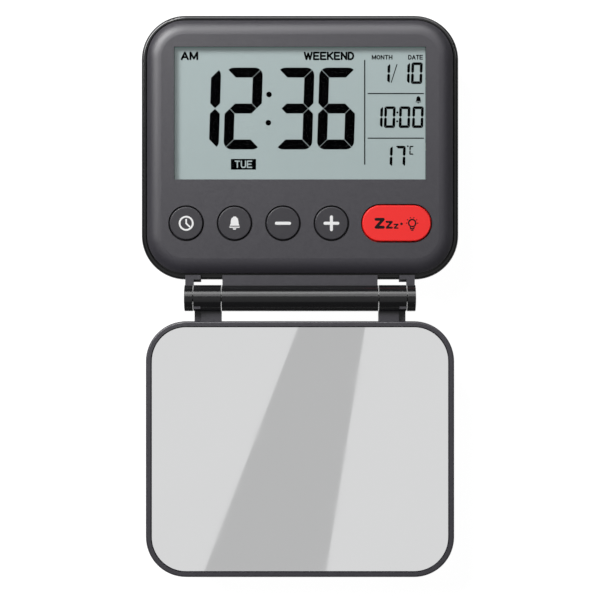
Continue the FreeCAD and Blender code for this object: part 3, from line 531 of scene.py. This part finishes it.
def bell(x, y, size):
    """A bell about x, y, with its rim apart below it; size is its height."""
    half = [(0.1, 0.5), (0.14, 0.44), (0.25, 0.34), (0.29, 0.15), (0.31, -0.06), (0.37, -0.2)]
    dome = [(-px, py) for px, py in half] + half[::-1]
    rim = [(-0.42, -0.27), (-0.36, -0.36), (0.36, -0.36), (0.42, -0.27)]
    tongue = [(-0.14, -0.4), (-0.1, -0.5), (0.1, -0.5), (0.14, -0.4)]
    return [[(x + px * size, y + py * size) for px, py in shape] for shape in (dome, rim, tongue)]


def display():
    """What the display shows, in millimetres about its centre."""
    low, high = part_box("front_polariser")
    centre = ((low.x + high.x) / 2 / MM, (low.y + high.y) / 2 / MM)
    base = high.z + PRINT_LIFT * MM
    film = PRINT_THICKNESS * MM

    def mark(name, outlines, look=SEGMENT, lift=0.0):
        printing(name, outlines, centre, base + lift, film, look, "clock")

    large = dict(bottom=-10.1, width=10.55, height=23.25, bar=2.9, gap=0.12)
    mark("time_digits", digits("1236", (-25.5, -21.35, -6.75, 5.1), **large))
    mark("time_colon", [dot(-8.77, 5.5, 0.78), dot(-8.97, -2.5, 0.78)])
    small = dict(width=3.2, bar=0.8, gap=0.04)
    mark("date_digits", digits("1", (24.7,), 8.6, height=5.7, **small))
    mark("day_digits", digits("10", (30.3, 31.45), 8.45, height=6.15, **small))
    mark("date_slash", [line(25.8, 8.85, 27.45, 14.05, 0.26)])
    mark("alarm_digits", digits("1000", (22.65, 23.8, 28.0, 31.75), -4.0, height=6.15, **small))
    mark("alarm_colon", [dot(27.56, 0.4, 0.3), dot(27.5, -2.1, 0.3)])
    mark("alarm_bell", bell(33.5, 4.0, 2.0))
    warmth = digits("17", (25.4, 26.85), -14.95, width=3.0, height=5.95, bar=0.8, gap=0.04)
    mark("temperature_digits", warmth)
    mark("degree_mark", [dot(30.5, -9.15, 0.24)])
    mark("degree_letter", digits("C", (30.95,), -11.55, width=1.3, height=2.5, bar=0.36, gap=0.02))
    rules = [line(18.31, -14.35, 18.31, 15.25, 0.33)]
    rules += [line(19.15, y, 35.05, y, 0.3) for y in (5.75, -6.87)]
    mark("display_rules", rules)
    mark("morning_mark", lettering("AM", -33.75, 15.2, 4.95, 2.45, 0.22))
    mark("weekend_mark", lettering("WEEKEND", 1.05, 15.2, 14.3, 2.4, 0.22))
    mark("month_mark", lettering("MONTH", 20.3, 15.35, 5.85, 1.35, 0.2))
    mark("date_mark", lettering("DATE", 30.6, 15.35, 4.2, 1.35, 0.2))
    mark("weekday_block", [[(-19.55, -15.75), (-12.45, -15.75), (-12.45, -12.75), (-19.55, -12.75)]])
    mark("weekday_mark", lettering("TUE", -18.5, -15.3, 5.0, 2.1, 0.17), LOOKS["display_film"], film * 0.6)


# ---------------------------------------------------------------- printing on the buttons


def button_marks():
    """The printing on the buttons, in millimetres about each button's centre."""
    ink = PRINT_THICKNESS * MM

    def mark(button, name, outlines, look=INK_WHITE):
        """Prints on a button, with a third of the ink sunk into its top."""
        low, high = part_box(button)
        centre = ((low.x + high.x) / 2 / MM, (low.y + high.y) / 2 / MM)
        printing(name, outlines, centre, high.z - ink / 3, ink, look, button)

    clock = pen(arc((0, 0), 1.85, 0, 360, 40), 0.5)
    mark("clock_set_button", "clock_print", clock + pen([(0, 1.0), (0, -0.05), (0.95, -0.95)], 0.45))
    mark("alarm_set_button", "bell_print", bell(0, 0.05, 3.7))
    mark("minus_button", "minus_print", pen([(-1.85, 0), (1.85, 0)], 0.86))
    mark("plus_button", "plus_print", pen([(-1.8, 0), (1.8, 0)], 0.86) + pen([(0, -1.8), (0, 1.8)], 0.86))
    snooze = []
    foot = -1.53
    snooze += lettering("Z", -6.2, foot, 2.85, 3.05, 0.27)
    snooze += lettering("Z", -3.05, foot, 1.95, 2.2, 0.26)
    snooze += lettering("Z", -0.85, foot, 1.4, 1.4, 0.27)
    snooze.append(dot(1.38, -0.18, 0.36))
    centre = (4.38, 0.05)
    snooze += pen(arc(centre, 1.0, -50, 230, 20), 0.4)
    snooze += pen([(3.85, -1.2), (3.85, -0.9), (4.91, -0.9), (4.91, -1.2)], 0.34)
    snooze += pen([(3.9, -1.5), (4.86, -1.5)], 0.34) + pen([(4.15, -1.95), (4.61, -1.95)], 0.34)
    for turn in range(0, 181, 36):
        unit = Vector((math.cos(math.radians(turn)), math.sin(math.radians(turn))))
        snooze.append(line(*(Vector(centre) + unit * 1.4), *(Vector(centre) + unit * 1.72), 0.3))
    mark("snooze_button", "snooze_print", snooze, INK_BLACK)


# ---------------------------------------------------------------- studio

# The camera hangs this far above the clock's face, and takes in a field this wide there.
CAMERA_DISTANCE = 440.0
FIELD = 168.96
SENSOR = 36.0
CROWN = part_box("front_bezel")[1].z / MM
AIM_Y = -0.51
# The studio round the clock, in metres, and how brightly each part glows.
LAMP_DISTANCE = 1.3
FLOOR_REACH = 6.0
FLOOR_GLOW = 0.99
SURROUND_GLOW = 0.15
CARD_HEIGHT = 1.6
BRIGHT_CARD_GLOW = 0.71
DIM_CARD_GLOW = 0.492
CEILING_HEIGHT = 1.75
CEILING_REACH = 1.1
CEILING_GLOW = 0.54


def camera():
    data = bpy.data.cameras.new("camera")
    data.sensor_width = SENSOR
    data.lens = SENSOR * CAMERA_DISTANCE / FIELD
    data.clip_end = 20.0
    item = bpy.data.objects.new("camera", data)
    item.location = (0.0, AIM_Y * MM, (CROWN + CAMERA_DISTANCE) * MM)
    bpy.context.scene.collection.objects.link(item)
    bpy.context.scene.camera = item


def lamp(name, turn, rise, size, power):
    """A softbox that faces the clock from the bearing turn, in degrees from +X, at the elevation rise."""
    turn = math.radians(turn)
    rise = math.radians(rise)
    unit = Vector((math.cos(turn) * math.cos(rise), math.sin(turn) * math.cos(rise), math.sin(rise)))
    data = bpy.data.lights.new(name, "AREA")
    data.shape = "RECTANGLE"
    data.size, data.size_y = size
    data.energy = power
    item = bpy.data.objects.new(name, data)
    item.location = unit * LAMP_DISTANCE
    item.rotation_euler = (-unit).to_track_quat("-Z", "Y").to_euler()
    bpy.context.scene.collection.objects.link(item)
    return item


def square(reach):
    return ((-reach, -reach), (reach, -reach), (reach, reach), (-reach, reach))


def flat_piece(name, corners, height, material):
    mesh = bpy.data.meshes.new(name)
    mesh.from_pydata([(x, y, height) for x, y in corners], [], [tuple(range(len(corners)))])
    mesh.materials.append(material)
    item = bpy.data.objects.new(name, mesh)
    bpy.context.scene.collection.objects.link(item)
    return item


def glow(name, strength):
    material = bpy.data.materials.new(name)
    material.use_nodes = True
    shader = material.node_tree.nodes["Principled BSDF"]
    shader.inputs["Base Color"].default_value = BLACK
    shader.inputs["Specular IOR Level"].default_value = 0.0
    shader.inputs["Emission Color"].default_value = WHITE
    shader.inputs["Emission Strength"].default_value = strength
    return material


def only_reflected(item):
    """Hides a lamp or a card from all but reflections."""
    item.visible_camera = False
    item.visible_diffuse = False
    item.visible_shadow = False


def card(name, corners, height, strength):
    """A glowing card over the clock that only reflections see."""
    only_reflected(flat_piece(name, corners, height, glow(name + "_look", strength)))


def floor():
    """A pale table that glows evenly, as a light table does. The clock reflects it but isn't lit by it."""
    material = glow("floor_look", FLOOR_GLOW)
    shader = material.node_tree.nodes["Principled BSDF"]
    shader.inputs["Base Color"].default_value = (0.2, 0.2, 0.2, 1.0)
    shader.inputs["Roughness"].default_value = 0.9
    item = flat_piece("floor", square(FLOOR_REACH), 0.0, material)
    item.visible_diffuse = False


def surround():
    """Even grey all round, which lights nothing but shows in reflections."""
    scene = bpy.context.scene
    scene.world = bpy.data.worlds.new("studio")
    scene.world.use_nodes = True
    back = scene.world.node_tree.nodes["Background"]
    back.inputs["Color"].default_value = WHITE
    back.inputs["Strength"].default_value = SURROUND_GLOW
    scene.world.cycles_visibility.diffuse = False
    scene.view_settings.view_transform = "Standard"


def mirror_cards():
    """What the camera sees in the mirror: a pale ceiling with one darker strip across it."""
    low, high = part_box("mirror_glass")
    eye = (CROWN + CAMERA_DISTANCE) * MM
    rise = 1 + (CARD_HEIGHT - high.z) / (eye - high.z)
    margin = 3 * MM

    def seen(x, y):
        """Where on a card the camera sees this point of the mirror reflect."""
        return x * rise, AIM_Y * MM + (y - AIM_Y * MM) * rise

    corners = [(low.x - margin, low.y - margin), (high.x + margin, low.y - margin)]
    corners += [(high.x + margin, high.y + margin), (low.x - margin, high.y + margin)]
    card("bright_card", [seen(*p) for p in corners], CARD_HEIGHT, BRIGHT_CARD_GLOW)
    width = high.x - low.x
    length = high.y - low.y
    # The strip's corners as shares of the mirror's width and length.
    strip = [(0.175, -0.01), (0.586, -0.01), (0.72, 1.01), (0.498, 1.01)]
    corners = [seen(low.x + u * width, low.y + v * length) for u, v in strip]
    # It hangs just below the bright card, so it hides that part of it.
    card("dim_card", corners, CARD_HEIGHT - 2 * MM, DIM_CARD_GLOW)


def studio():
    camera()
    floor()
    surround()
    mirror_cards()
    lamp("key", turn=135, rise=48, size=(0.7, 0.5), power=19.0)
    only_reflected(lamp("low_strip", turn=98, rise=42, size=(1.6, 0.45), power=14.0))
    only_reflected(lamp("high_strip", turn=90, rise=62, size=(1.6, 0.45), power=6.5))
    card("ceiling_card", square(CEILING_REACH), CEILING_HEIGHT, CEILING_GLOW)


dress_nodes()
display()
button_marks()
studio()
